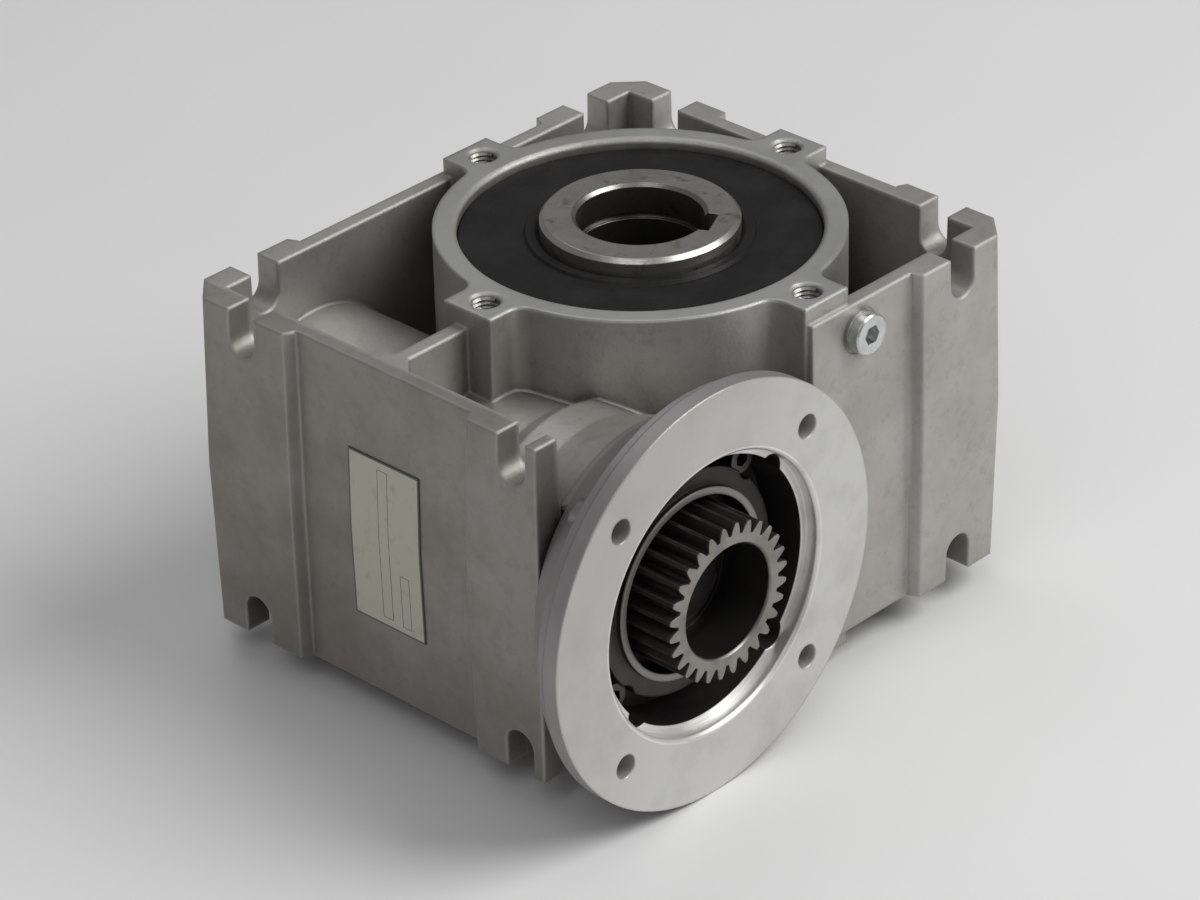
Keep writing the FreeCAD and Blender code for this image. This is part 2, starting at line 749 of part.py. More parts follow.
rear_clip = sleeve("rear_bore_circlip", "worm_seat_r - 2.6", "worm_seat_r + 1", REAR_CLIP + " + 0.2",
                   REAR_CLIP + " + 2.2", "worm")
shaft_clip = sleeve("rear_shaft_circlip", "worm_shaft_r - 0.6", "worm_shaft_r + 3", REAR_CLIP + " + 0.1",
                    REAR_CLIP + " + 1.3", "worm")
NOSE_CLIP = "(-hub_face + hub_tooth_length - 2.5)"
nose_clip = sleeve("hub_circlip", "nose_r - 0.5", "nose_r + 2.8", NOSE_CLIP + " - 1.3",
                   NOSE_CLIP + " - 0.1", "worm")
for clip in (rear_clip, shaft_clip, nose_clip):
    clip_gap = new_sketch(clip, "XY_Plane")
    draw_box(clip_gap, "0", "2 * worm_seat_r", "-3", "3")
    extrude(clip, clip_gap, "4 * flange_face", cut=True, both=True)

turned("input_seal", [
    ("seal_seat_r", "-joint_y - 3"),
    ("seal_seat_r", "-joint_y - 11"),
    ("hub_neck_r + 2.5", "-joint_y - 11"),
    ("hub_neck_r + running_gap", "-joint_y - 9"),
    ("hub_neck_r + running_gap", "-joint_y - 7.5"),
    ("hub_neck_r + 3", "-joint_y - 5"),
    ("hub_neck_r + 4", "-joint_y - 9"),
    ("seal_seat_r - 2", "-joint_y - 9"),
    ("seal_seat_r - 2", "-joint_y - 3"),
], place="worm")

turned("rear_end_cap", [
    ("0", REAR_FACE + " - 5"),
    ("worm_seat_r - 2", REAR_FACE + " - 5"),
    ("worm_seat_r - 2", REAR_FACE + " - 10"),
    ("worm_seat_r", REAR_FACE + " - 10"),
    ("worm_seat_r", REAR_FACE + " - 4"),
    ("worm_seat_r - 1", REAR_FACE + " - 3"),
    ("0", REAR_FACE + " - 3"),
], place="worm")

# Toothed coupling hub on the nose of the worm shaft
HUB_END = "(-hub_face + hub_tooth_length)"
HUB_ROOT = "(hub_module * (hub_teeth / 2 - 1.25))"
HUB_TIP = "(hub_module * (hub_teeth / 2 + 1))"
SEAT_END = "(-front_shoulder - worm_bearing_width)"
hub = turned("coupling_hub", [
    ("hub_bore_r + 0.6", "-hub_face"),
    (HUB_ROOT, "-hub_face"),
    (HUB_ROOT, HUB_END),
    ("hub_neck_r", HUB_END),
    ("hub_neck_r", SEAT_END),
    ("nose_r", SEAT_END),
    ("nose_r", NOSE_CLIP),
    ("hub_bore_r", NOSE_CLIP),
    ("hub_bore_r", "-hub_face + 0.6"),
], place="worm")
tooth = new_sketch(hub, "XY_Plane", lift="-hub_face")
HUB_PITCH = "(hub_module * hub_teeth / 2)"
TOOTH = (
    (HUB_ROOT + " - 0.3", "(hub_module * 1.15)"),
    (HUB_PITCH, "(hub_module * pi / 4)"),
    (HUB_TIP + " - 0.3", "(hub_module * 0.46)"),
    (HUB_TIP, "(hub_module * 0.32)"),
)
outline = [(r, w) for r, w in TOOTH] + [(r, minus(w)) for r, w in reversed(TOOTH)]
draw_loop(tooth, [
    (
        "(%s) * cos(hub_phase) + (%s) * sin(hub_phase)" % (r, w),
        "(%s) * cos(hub_phase) - (%s) * sin(hub_phase)" % (w, r),
    )
    for r, w in outline
])
hub_tooth = extrude(hub, tooth, "hub_tooth_length")
doc.recompute()
repeat_round(hub, [hub_tooth], "hub_teeth")
hub_key_slot = new_sketch(hub, "XY_Plane", lift=SEAT_END)
draw_box(hub_key_slot, "0", "nose_r + 2.8", "-3", "3")
extrude(hub, hub_key_slot, "16", cut=True)

hub_key = new_body("hub_key", "worm")
hub_key_form = new_sketch(hub_key, "XY_Plane", lift=SEAT_END + " - 1")
draw_box(hub_key_form, "nose_r - 3.5", "nose_r + 2.6", "-3", "3")
extrude(hub_key, hub_key_form, "14", reverse=True)

doc.recompute()


# Gear set, worked out from the straight-sided axial profile of the worm
MODULE = value("gear_module")
STARTS = int(value("worm_starts"))
TEETH = int(value("wheel_teeth"))
WHEEL_PITCH_R = MODULE * TEETH / 2
WORM_PITCH_R = value("centre_distance") - WHEEL_PITCH_R
WORM_TIP_R = WORM_PITCH_R + MODULE
WORM_ROOT_R = WORM_PITCH_R - 1.2 * MODULE
AXIAL_PITCH = math.pi * MODULE
LEAD = AXIAL_PITCH * STARTS
LEAD_PER_RADIAN = LEAD / (2 * math.pi)
FLANK_SLOPE = math.tan(math.radians(value("pressure_angle")))
SIDE_PLAY = value("backlash") / 2
CENTRE = value("centre_distance")
# How far a thread reaches into the core, and a turn that keeps the seams of round faces apart
THREAD_OVERLAP = 0.7
SEAM_TURN = 33


def thread_half_width(radius, play):
    """Half the axial thickness of the worm thread at a radius, with play taken off or put on."""
    return AXIAL_PITCH / 4 - (radius - WORM_PITCH_R) * FLANK_SLOPE + play


def worm_thread(number):
    """One helical thread, swept past both ends of the worm and trimmed to its length."""
    half = value("worm_half_length")
    turns = math.ceil(2 * half / LEAD) + 2
    start = -LEAD * turns / 2
    helix = Part.makeHelix(LEAD, LEAD * turns, WORM_PITCH_R)
    helix.translate(Vector(0, 0, start))
    foot = WORM_ROOT_R - THREAD_OVERLAP
    low = thread_half_width(foot, -SIDE_PLAY)
    high = thread_half_width(WORM_TIP_R, -SIDE_PLAY)
    corners = [(foot, -low), (WORM_TIP_R, -high), (WORM_TIP_R, high), (foot, low), (foot, -low)]
    section = Part.makePolygon([Vector(r, 0, start + z) for r, z in corners])
    thread = Part.Wire(helix.Edges).makePipeShell([section], True, True)
    thread.rotate(Vector(0, 0, 0), Vector(0, 0, 1), 360 * (number / STARTS - turns / 2))
    trim = Part.makeCylinder(WORM_TIP_R + MODULE, 2 * half, Vector(0, 0, -half))
    trim.rotate(Vector(0, 0, 0), Vector(0, 0, 1), SEAM_TURN)
    return thread.common(trim)


def worm_shape():
    """Shaft with bearing seats, key seat and circlip grooves, and the threads on its middle."""
    half = value("worm_half_length")
    profile = [
        (0, value(NOSE_CLIP) - 3),
        (value("nose_r"), value(NOSE_CLIP) - 3),
        (value("nose_r"), value(NOSE_CLIP) - 1.4),
        (value("nose_r - 0.6"), value(NOSE_CLIP) - 1.4),
        (value("nose_r - 0.6"), value(NOSE_CLIP)),
        (value("nose_r"), value(NOSE_CLIP)),
        (value("nose_r"), value(SEAT_END)),
        (value("worm_shaft_r"), value(SEAT_END)),
        (value("worm_shaft_r"), -value("front_shoulder")),
        (value("worm_shaft_r + 4"), -value("front_shoulder")),
        (value("worm_shaft_r + 4"), -half - 7),
        (WORM_ROOT_R, -half - 4),
        (WORM_ROOT_R, half + 4),
        (value("worm_shaft_r + 4"), half + 7),
        (value("worm_shaft_r + 4"), value("rear_shoulder")),
        (value("worm_shaft_r"), value("rear_shoulder")),
        (value("worm_shaft_r"), value(REAR_CLIP)),
        (value("worm_shaft_r - 0.7"), value(REAR_CLIP)),
        (value("worm_shaft_r - 0.7"), value(REAR_CLIP) + 1.4),
        (value("worm_shaft_r"), value(REAR_CLIP) + 1.4),
        (value("worm_shaft_r"), value(REAR_CLIP) + 4),
        (0, value(REAR_CLIP) + 4),
    ]
    outline = Part.makePolygon([Vector(r, 0, z) for r, z in profile + profile[:1]])
    worm = Part.Face(outline).revolve(Vector(0, 0, 0), Vector(0, 0, 1), 360)
    worm.rotate(Vector(0, 0, 0), Vector(0, 0, 1), SEAM_TURN)
    for number in range(STARTS):
        worm = worm.fuse(worm_thread(number))
    seat = Part.makeBox(4, 6, 14, Vector(value("nose_r - 3.5"), -3, value(SEAT_END) - 15))
    return worm.cut(seat)


def rack_point(radius, side, level):
    """Point of a worm flank in the plane z = level, seen from the output axis."""
    play = thread_half_width(radius, SIDE_PLAY)
    x = -CENTRE + math.sqrt(radius ** 2 - level ** 2)
    y = side * play - LEAD_PER_RADIAN * math.asin(level / radius)
    return x, y


def wheel_flank_point(radius, side, level):
    """Point of the wheel flank that the worm flank generates in the same plane."""
    step = 0.01
    x, y = rack_point(radius, side, level)
    x_next, y_next = rack_point(radius + step, side, level)
    travel = -y - (x + WHEEL_PITCH_R) * (x_next - x) / (y_next - y)
    turn = travel / WHEEL_PITCH_R
    shifted = y + travel
    return Vector(
        x * math.cos(turn) - shifted * math.sin(turn),
        x * math.sin(turn) + shifted * math.cos(turn),
        level,
    )


def wheel_flank(side, level, reach, deepest):
    """Flank of a wheel tooth in one plane, from outside the rim down to its root."""
    shallowest = deepest
    while math.hypot(*wheel_flank_point(shallowest, side, level)[:2]) < reach:
        shallowest -= 0.1
    middle = (shallowest + deepest) / 2
    return [wheel_flank_point(radius, side, level) for radius in (shallowest, middle, deepest)]


def wheel_gap():
    """Cutter for one gap between wheel teeth, lofted through level planes."""
    levels = 5
    reach = value("wheel_outer_r") + 1.5
    deepest = WORM_TIP_R + 0.2 * MODULE
    half = value("wheel_half_width") + 1
    sections = []
    for i in range(levels):
        level = half * (2 * i / (levels - 1) - 1)
        left = wheel_flank(1, level, reach, deepest)
        right = wheel_flank(-1, level, reach, deepest)
        root = [Vector(*rack_point(deepest, side, level), level) for side in (1, -1)]
        sections.append(Part.makePolygon(left + root + right[::-1] + left[:1]))
    return Part.makeLoft(sections, True, True)


def wheel_shape():
    """Bronze rim with a throat that follows the worm, and its teeth."""
    half = value("wheel_half_width")
    rim = Part.makeCylinder(value("wheel_outer_r"), 2 * half, Vector(0, 0, -half))
    rim = rim.cut(Part.makeCylinder(value("wheel_joint_r"), 2 * half, Vector(0, 0, -half)))
    rim = rim.cut(Part.makeTorus(CENTRE, WORM_PITCH_R - MODULE))
    gaps = []
    for number in range(TEETH):
        gap = wheel_gap()
        gap.rotate(Vector(0, 0, 0), Vector(0, 0, 1), 360 * number / TEETH)
        gaps.append(gap)
    return rim.cut(gaps)


worm = doc.addObject("Part::Feature", "worm_shaft")
worm.Shape = worm_shape()
worm.Placement = Placement(Vector(-value("centre_distance"), 0, 0), Rotation(Vector(1, 0, 0), -90))
nodes.append(worm)

wheel = doc.addObject("Part::Feature", "worm_wheel")
wheel.Shape = wheel_shape()
nodes.append(wheel)

doc.recompute()

# Nothing is written unless every object is sound
for item in doc.Objects:
    if "Invalid" in item.State or "Error" in item.State:
        raise RuntimeError("%s did not build: %s" % (item.Label, item.State))
for node in nodes:
    if node.Shape.isNull() or not node.Shape.isValid() or not node.Shape.Solids:
        raise RuntimeError("%s has no sound solid" % node.Label)

os.makedirs("parts", exist_ok=True)
for node in nodes:
    node.Shape.exportStep("parts/%s.step" % node.Label)
    print("%-24s %2d solids %10.1f mm3" % (node.Label, len(node.Shape.Solids), node.Shape.Volume))
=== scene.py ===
import math

import bmesh
import bpy
from mathutils import Matrix, Vector


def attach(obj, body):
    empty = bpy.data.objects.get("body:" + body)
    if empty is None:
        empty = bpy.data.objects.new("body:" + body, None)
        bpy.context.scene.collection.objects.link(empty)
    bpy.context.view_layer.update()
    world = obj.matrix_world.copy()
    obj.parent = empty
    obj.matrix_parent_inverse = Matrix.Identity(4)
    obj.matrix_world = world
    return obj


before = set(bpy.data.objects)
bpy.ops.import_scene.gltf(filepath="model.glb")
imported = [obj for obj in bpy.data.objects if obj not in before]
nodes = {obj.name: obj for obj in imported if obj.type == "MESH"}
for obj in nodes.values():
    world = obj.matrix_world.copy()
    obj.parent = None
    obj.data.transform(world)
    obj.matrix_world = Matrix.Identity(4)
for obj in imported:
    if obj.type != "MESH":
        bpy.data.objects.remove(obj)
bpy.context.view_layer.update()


# Housing: a raw aluminium die casting in one piece, with blasted skin and
# machined ring faces. The walls carry open bolt slots and the ring four tapped ears.
RING_TOP = 0.0555
FOOT_TOP = 0.0505


def new_material(name):
    """Empty node material: returns it with its tree and its principled shader."""
    material = bpy.data.materials.new(name)
    material.use_nodes = True
    tree = material.node_tree
    return material, tree, tree.nodes["Principled BSDF"]


def math_node(tree, operation, first, second=None):
    """Math node whose inputs are sockets or plain numbers."""
    node = tree.nodes.new("ShaderNodeMath")
    node.operation = operation
    for socket, given in zip(node.inputs, (first, second)):
        if isinstance(given, (int, float)):
            socket.default_value = given
        elif given is not None:
            tree.links.new(given, socket)
    return node.outputs[0]


def times(tree, first, second):
    """Product of two sockets or numbers."""
    return math_node(tree, "MULTIPLY", first, second)


def rest_of(tree, part):
    """What is left of 1."""
    return math_node(tree, "SUBTRACT", 1.0, part)


def place(tree):
    """Coordinates of the piece's own mesh, as a vector and as its three numbers."""
    coords = tree.nodes.new("ShaderNodeTexCoord")
    parts = tree.nodes.new("ShaderNodeSeparateXYZ")
    tree.links.new(coords.outputs["Object"], parts.inputs[0])
    return coords.outputs["Object"], parts.outputs


def noise(tree, vector, scale, detail=4.0, roughness=0.55):
    """Cloudy number; scale is in clouds per metre."""
    node = tree.nodes.new("ShaderNodeTexNoise")
    node.inputs["Scale"].default_value = scale
    node.inputs["Detail"].default_value = detail
    node.inputs["Roughness"].default_value = roughness
    tree.links.new(vector, node.inputs["Vector"])
    return node.outputs["Fac"]


def ramp(tree, value, low, high):
    """Number that goes from 0 at low to 1 at high."""
    node = tree.nodes.new("ShaderNodeMapRange")
    node.inputs["From Min"].default_value = low
    node.inputs["From Max"].default_value = high
    tree.links.new(value, node.inputs["Value"])
    return node.outputs["Result"]


def mix(tree, factor, first, second):
    """Colour mix; first and second are colours or sockets."""
    node = tree.nodes.new("ShaderNodeMix")
    node.data_type = "RGBA"
    tree.links.new(factor, node.inputs["Factor"])
    for name, given in (("A", first), ("B", second)):
        socket = next(s for s in node.inputs if s.name == name and s.type == "RGBA")
        if isinstance(given, tuple):
            socket.default_value = (*given, 1.0)
        else:
            tree.links.new(given, socket)
    return next(s for s in node.outputs if s.type == "RGBA")


def blend_numbers(tree, factor, first, second):
    """first where factor is 0 and second where it is 1."""
    return math_node(tree, "ADD", times(tree, factor, second - first), first)


def relief(tree, shader, height, strength, distance, edge_radius=0.0):
    """Bump on top of softly rounded edges."""
    bump = tree.nodes.new("ShaderNodeBump")
    bump.inputs["Strength"].default_value = strength
    bump.inputs["Distance"].default_value = distance
    tree.links.new(height, bump.inputs["Height"])
    if edge_radius:
        rounded = tree.nodes.new("ShaderNodeBevel")
        rounded.samples = 6
        rounded.inputs["Radius"].default_value = edge_radius
        tree.links.new(rounded.outputs["Normal"], bump.inputs["Normal"])
    tree.links.new(bump.outputs["Normal"], shader.inputs["Normal"])


def paint(node_name, material):
    """Gives one CAD node its material in every slot."""
    mesh = nodes[node_name].data
    if not mesh.materials:
        mesh.materials.append(material)
    for index in range(len(mesh.materials)):
        mesh.materials[index] = material


def edge_highlight_and_wear(tree, reach):
    """1 along convex and concave edges, from how far a rounded normal leaves the flat one."""
    rounded = tree.nodes.new("ShaderNodeBevel")
    rounded.samples = 6
    rounded.inputs["Radius"].default_value = reach
    flat = tree.nodes.new("ShaderNodeNewGeometry")
    across = tree.nodes.new("ShaderNodeVectorMath")
    across.operation = "DOT_PRODUCT"
    tree.links.new(rounded.outputs["Normal"], across.inputs[0])
    tree.links.new(flat.outputs["Normal"], across.inputs[1])
    return ramp(tree, rest_of(tree, across.outputs["Value"]), 0.01, 0.16)


def corner_shade_and_dirt(tree, reach):
    """1 deep in corners and pockets, from ambient occlusion: where painted shade goes, together with
    the dirt the casting keeps there.
    """
    shade = tree.nodes.new("ShaderNodeAmbientOcclusion")
    shade.samples = 6
    shade.inputs["Distance"].default_value = reach
    return ramp(tree, rest_of(tree, shade.outputs["AO"]), 0.25, 0.85)


WALL_SIDE = 0.0955
MACHINED_SKIN = 0.0002
POCKET_REACH = 0.018
CORNER_REACH = 0.004
EDGE_MASK_REACH = 0.0016
CAST_EDGE_R = 0.0018
casting, tree, shader = new_material("raw_casting")
vector, parts = place(tree)
cloud = ramp(tree, noise(tree, vector, 26.0, 5.0, 0.6), 0.42, 0.68)
speck = ramp(tree, noise(tree, vector, 240.0, 3.0, 0.7), 0.52, 0.74)
smear = ramp(tree, noise(tree, vector, 11.0, 6.0, 0.7), 0.44, 0.66)
blasted = mix(tree, times(tree, cloud, 0.6), (0.47, 0.455, 0.43), (0.33, 0.31, 0.28))
# Painted shade: the outer face of the far wall, turned away from the key light, is painted darker, with
# smeared and blotchy stains on it.
far_wall = ramp(tree, times(tree, parts[0], -1.0), WALL_SIDE - 0.001, WALL_SIDE)
far_wall_shade = times(tree, far_wall, blend_numbers(tree, smear, 0.50, 0.88))
far_shaded_skin = mix(tree, far_wall_shade, blasted, (0.235, 0.215, 0.185))
blotch = ramp(tree, noise(tree, vector, 48.0, 6.0, 0.7), 0.48, 0.66)
stains_and_far_shade = times(tree, blotch, blend_numbers(tree, far_wall, 0.12, 0.30))
blotched = mix(tree, stains_and_far_shade, far_shaded_skin, (0.20, 0.185, 0.16))
pitted = mix(tree, times(tree, speck, 0.24), blotched, (0.17, 0.155, 0.135))
# Painted shade, with dirt: pockets and inner corners are darkened from ambient occlusion.
shaded_and_dirty = mix(tree, times(tree, corner_shade_and_dirt(tree, POCKET_REACH), 0.72), pitted, (0.11, 0.105, 0.095))
patchy = ramp(tree, noise(tree, vector, 130.0, 4.0, 0.7), 0.40, 0.60)
# Painted shade, with grit: the tightest corners are darkened again in patches.
corner_grit_and_shade = times(tree, corner_shade_and_dirt(tree, CORNER_REACH), patchy)
gritty_and_shaded = mix(tree, times(tree, corner_grit_and_shade, 0.8), shaded_and_dirty, (0.06, 0.055, 0.045))
# Painted highlight, with some wear: the convex and concave edges of the skin are lightened.
worn = mix(tree, times(tree, edge_highlight_and_wear(tree, EDGE_MASK_REACH), 0.5), gritty_and_shaded, (0.62, 0.61, 0.59))
level = math_node(tree, "ABSOLUTE", parts[2])
ring_face = ramp(tree, level, RING_TOP - 2 * MACHINED_SKIN, RING_TOP - MACHINED_SKIN)
turned_ring = mix(tree, smear, (0.50, 0.50, 0.485), (0.38, 0.375, 0.355))
tree.links.new(mix(tree, ring_face, worn, turned_ring), shader.inputs["Base Color"])
shader.inputs["Metallic"].default_value = 0.72
tree.links.new(blend_numbers(tree, ring_face, 0.50, 0.42), shader.inputs["Roughness"])
grain = noise(tree, vector, 900.0, 2.0, 0.5)
rough_skin = times(tree, grain, blend_numbers(tree, ring_face, 1.0, 0.15))
relief(tree, shader, rough_skin, 0.35, 0.00025, CAST_EDGE_R)
paint("housing", casting)


# Threads of the tapped holes: M8 coarse, cut in the ears of the casting on both
# faces. The turns are part of the housing and show as ridges in the mouths.
TAP_CIRCLE = 0.060
TAP_R = 0.00398
THREAD_DEPTH = 0.00062
THREAD_PITCH = 0.00125
THREAD_TURNS = 12
THREAD_TOP = RING_TOP - 0.0009
THREAD_SIDES = 28
RIDGE_SHARE = 0.92


def add_mesh(name, mesh_edit, material, body):
    """Mesh object in place, with its material, riding on a body."""
    mesh = bpy.data.meshes.new(name)
    mesh_edit.to_mesh(mesh)
    mesh_edit.free()
    mesh.materials.append(material)
    piece = bpy.data.objects.new(name, mesh)
    bpy.context.scene.collection.objects.link(piece)
    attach(piece, body)
    return piece


def thread_turns(face, centre, way):
    """Helical ridge down one hole: way is the side of the housing it opens to."""
    steps = THREAD_TURNS * THREAD_SIDES
    rows = []
    for step in range(steps + 1):
        angle = 2 * math.pi * step / THREAD_SIDES
        depth = THREAD_PITCH * step / THREAD_SIDES
        across = Vector((math.cos(angle), way * math.sin(angle), 0))
        row = []
        for radius, along in ((TAP_R, 0.0), (TAP_R - THREAD_DEPTH, 0.5), (TAP_R, 1.0)):
            drop = THREAD_TOP - depth - along * THREAD_PITCH * RIDGE_SHARE
            row.append(face.verts.new(centre + across * radius + Vector((0, 0, way * drop))))
        rows.append(row)
    for before, after in zip(rows, rows[1:]):
        for k in range(2):
            face.faces.new((before[k], before[k + 1], after[k + 1], after[k]))


cut_metal, tree, shader = new_material("cut_thread")
vector, parts = place(tree)
grime = ramp(tree, noise(tree, vector, 320.0), 0.4, 0.7)
tree.links.new(mix(tree, grime, (0.36, 0.35, 0.33), (0.19, 0.18, 0.16)), shader.inputs["Base Color"])
shader.inputs["Metallic"].default_value = 0.9
shader.inputs["Roughness"].default_value = 0.38
for side_name, way in (("upper", 1), ("lower", -1)):
    edit = bmesh.new()
    for quarter in range(4):
        angle = quarter * math.pi / 2
        thread_turns(edit, Vector((math.cos(angle), math.sin(angle), 0)) * TAP_CIRCLE, way)
    threads = add_mesh(side_name + "_tapped_threads", edit, cut_metal, "housing")


# Label plate: a thin cream plate glued on the far wall, with two empty ruled boxes.
# It follows the wall, which leans back a little on each side of the parting plane.
PLATE_WIDTH = 0.0263
PLATE_HEIGHT = 0.051
PLATE_CENTRE = (0.0003, -0.0024)
PLATE_THICK = 0.0004
PLATE_RIM = 0.0005
RULE_HALF = 0.00011
RULED_BOXES = (((0.0005, 0.0), (0.0018, 0.0227)), ((-0.0066, -0.0152), (0.0016, 0.0080)))
PLATE_COLUMNS = 6
PLATE_LEVELS = 16
WALL_MIDDLE = 0.0997
WALL_LEAN = 0.0012 / FOOT_TOP


def beyond_box(tree, parts, middle, half):
    """How far a point of the plate lies outside an upright box; negative inside it."""
    outside = []
    for axis in (0, 1):
        off = math_node(tree, "SUBTRACT", parts[axis + 1], PLATE_CENTRE[axis] + middle[axis])
        outside.append(math_node(tree, "SUBTRACT", math_node(tree, "ABSOLUTE", off), half[axis]))
    return math_node(tree, "MAXIMUM", *outside)


plate_paint, tree, shader = new_material("label_cream")
vector, parts = place(tree)
wear = ramp(tree, noise(tree, vector, 190.0, 5.0, 0.65), 0.56, 0.72)
cream = mix(tree, wear, (0.52, 0.515, 0.43), (0.40, 0.39, 0.32))
bare_half = (PLATE_WIDTH / 2 - PLATE_RIM, PLATE_HEIGHT / 2 - PLATE_RIM)
ink = math_node(tree, "GREATER_THAN", beyond_box(tree, parts, (0, 0), bare_half), 0.0)
for middle, half in RULED_BOXES:
    to_rule = math_node(tree, "ABSOLUTE", beyond_box(tree, parts, middle, half))
    ink = math_node(tree, "MAXIMUM", ink, math_node(tree, "LESS_THAN", to_rule, RULE_HALF))
tree.links.new(mix(tree, ink, cream, (0.10, 0.10, 0.09)), shader.inputs["Base Color"])
shader.inputs["Roughness"].default_value = 0.42
edit = bmesh.new()
grid = []
for i in range(PLATE_LEVELS + 1):
    z = PLATE_CENTRE[1] + PLATE_HEIGHT * (i / PLATE_LEVELS - 0.5)
    wall = -(WALL_MIDDLE - WALL_LEAN * abs(z))
    row = []
    for j in range(PLATE_COLUMNS + 1):
        y = PLATE_CENTRE[0] + PLATE_WIDTH * (0.5 - j / PLATE_COLUMNS)
        row.append(edit.verts.new((wall - PLATE_THICK, y, z)))
    grid.append(row)
for lower, upper in zip(grid, grid[1:]):
    for j in range(PLATE_COLUMNS):
        edit.faces.new((lower[j], lower[j + 1], upper[j + 1], upper[j]))
bmesh.ops.recalc_face_normals(edit, faces=edit.faces)
shell = bmesh.ops.extrude_face_region(edit, geom=edit.faces[:])
bmesh.ops.translate(
    edit,
    vec=(PLATE_THICK * 0.9, 0, 0),
    verts=[item for item in shell["geom"] if isinstance(item, bmesh.types.BMVert)],
)
bmesh.ops.recalc_face_normals(edit, faces=edit.faces)
add_mesh("label_plate", edit, plate_paint, "housing")


# Motor adapter: a cast bell bolted to the neck of the housing, with its face and pilot turned bright
# and the inside of the bell painted near black as painted shade.
WORM_X = -0.063
FLANGE_FACE = -0.0845
PILOT_R = 0.040
PILOT_STEP = -0.0803
RIM_R = (0.0249, 0.0271)
RIM_FACE = 0.0753
HOLE_BAND = (0.0455, 0.0545)
HOLE_START = 0.0756
PILOT_CHAMFER = 0.0012
SHADE_PAST = 0.0008
FACE_SHADE_SPAN = (-0.020, 0.065)
FACE_MARKS = 18000.0
FACE_EDGE_R = 0.0009


def from_axis(tree, first, second):
    """Distance from an axis, from the two coordinates across it."""
    squares = [math_node(tree, "POWER", along, 2.0) for along in (first, second)]
    return math_node(tree, "SQRT", math_node(tree, "ADD", *squares))


def from_worm(tree, parts):
    """Distance from the worm's axis."""
    return from_axis(tree, math_node(tree, "SUBTRACT", parts[0], WORM_X), parts[2])


def between(tree, value, low, high):
    """1 where the value lies between low and high."""
    above = math_node(tree, "GREATER_THAN", value, low)
    return times(tree, above, math_node(tree, "LESS_THAN", value, high))


adapter, tree, shader = new_material("adapter_casting")
vector, parts = place(tree)
radius = from_worm(tree, parts)
forward = times(tree, parts[1], -1.0)
front = ramp(tree, forward, -FLANGE_FACE - 2 * MACHINED_SKIN, -FLANGE_FACE - MACHINED_SKIN)
chamfer_end = PILOT_R + PILOT_CHAMFER
in_pilot = rest_of(tree, ramp(tree, radius, chamfer_end, chamfer_end + MACHINED_SKIN))
before_step = ramp(tree, forward, -PILOT_STEP - 0.0003, -PILOT_STEP - 0.0001)
pilot = times(tree, in_pilot, before_step)
face = math_node(tree, "MAXIMUM", front, pilot)
at_rim = ramp(tree, forward, RIM_FACE, RIM_FACE + MACHINED_SKIN)
rim = times(tree, between(tree, radius, *RIM_R), at_rim)
past_start = ramp(tree, forward, HOLE_START, HOLE_START + MACHINED_SKIN)
drilled = times(tree, between(tree, radius, *HOLE_BAND), past_start)
# Painted shade: inside the pilot, apart from the face and the rim, the bell is painted near black.
shade_end = PILOT_R + SHADE_PAST
inside = rest_of(tree, ramp(tree, radius, shade_end, shade_end + MACHINED_SKIN))
deep = times(tree, inside, rest_of(tree, math_node(tree, "MAXIMUM", face, rim)))
cloud = ramp(tree, noise(tree, vector, 30.0, 5.0, 0.6), 0.40, 0.70)
cast_skin = mix(tree, times(tree, cloud, 0.6), (0.36, 0.345, 0.345), (0.26, 0.245, 0.24))
scuffs = ramp(tree, noise(tree, vector, 75.0, 4.0, 0.6), 0.45, 0.70)
clean_face = mix(tree, scuffs, (0.61, 0.605, 0.585), (0.53, 0.525, 0.505))
# Painted shade: the turned face is painted darker towards its top and its -X side.
far_up = math_node(tree, "SUBTRACT", parts[2], math_node(tree, "SUBTRACT", parts[0], WORM_X))
face_shade = times(tree, ramp(tree, far_up, *FACE_SHADE_SPAN), 0.55)
turned = mix(tree, face_shade, clean_face, (0.37, 0.365, 0.35))
lip = mix(tree, scuffs, (0.78, 0.77, 0.75), (0.62, 0.61, 0.59))
cut = math_node(tree, "MAXIMUM", front, drilled)
machined = mix(tree, pilot, mix(tree, cut, cast_skin, turned), lip)
outside = mix(tree, rim, machined, (0.30, 0.29, 0.27))
bell_shade = mix(tree, cloud, (0.035, 0.033, 0.031), (0.075, 0.07, 0.066))
tree.links.new(mix(tree, deep, outside, bell_shade), shader.inputs["Base Color"])
shader.inputs["Metallic"].default_value = 0.7
tree.links.new(blend_numbers(tree, face, 0.5, 0.36), shader.inputs["Roughness"])
lathe_marks = math_node(tree, "SINE", times(tree, radius, FACE_MARKS))
grain = noise(tree, vector, 900.0, 2.0, 0.5)
surface = math_node(
    tree,
    "ADD",
    times(tree, lathe_marks, times(tree, face, 0.10)),
    times(tree, grain, blend_numbers(tree, face, 1.0, 0.25)),
)
relief(tree, shader, surface, 0.30, 0.0002, FACE_EDGE_R)
paint("input_adapter", adapter)

gasket, tree, shader = new_material("gasket_fibre")
vector, parts = place(tree)
fibres = mix(tree, noise(tree, vector, 400.0), (0.10, 0.09, 0.08), (0.16, 0.15, 0.13))
tree.links.new(fibres, shader.inputs["Base Color"])
shader.inputs["Roughness"].default_value = 0.8
paint("adapter_gasket", gasket)


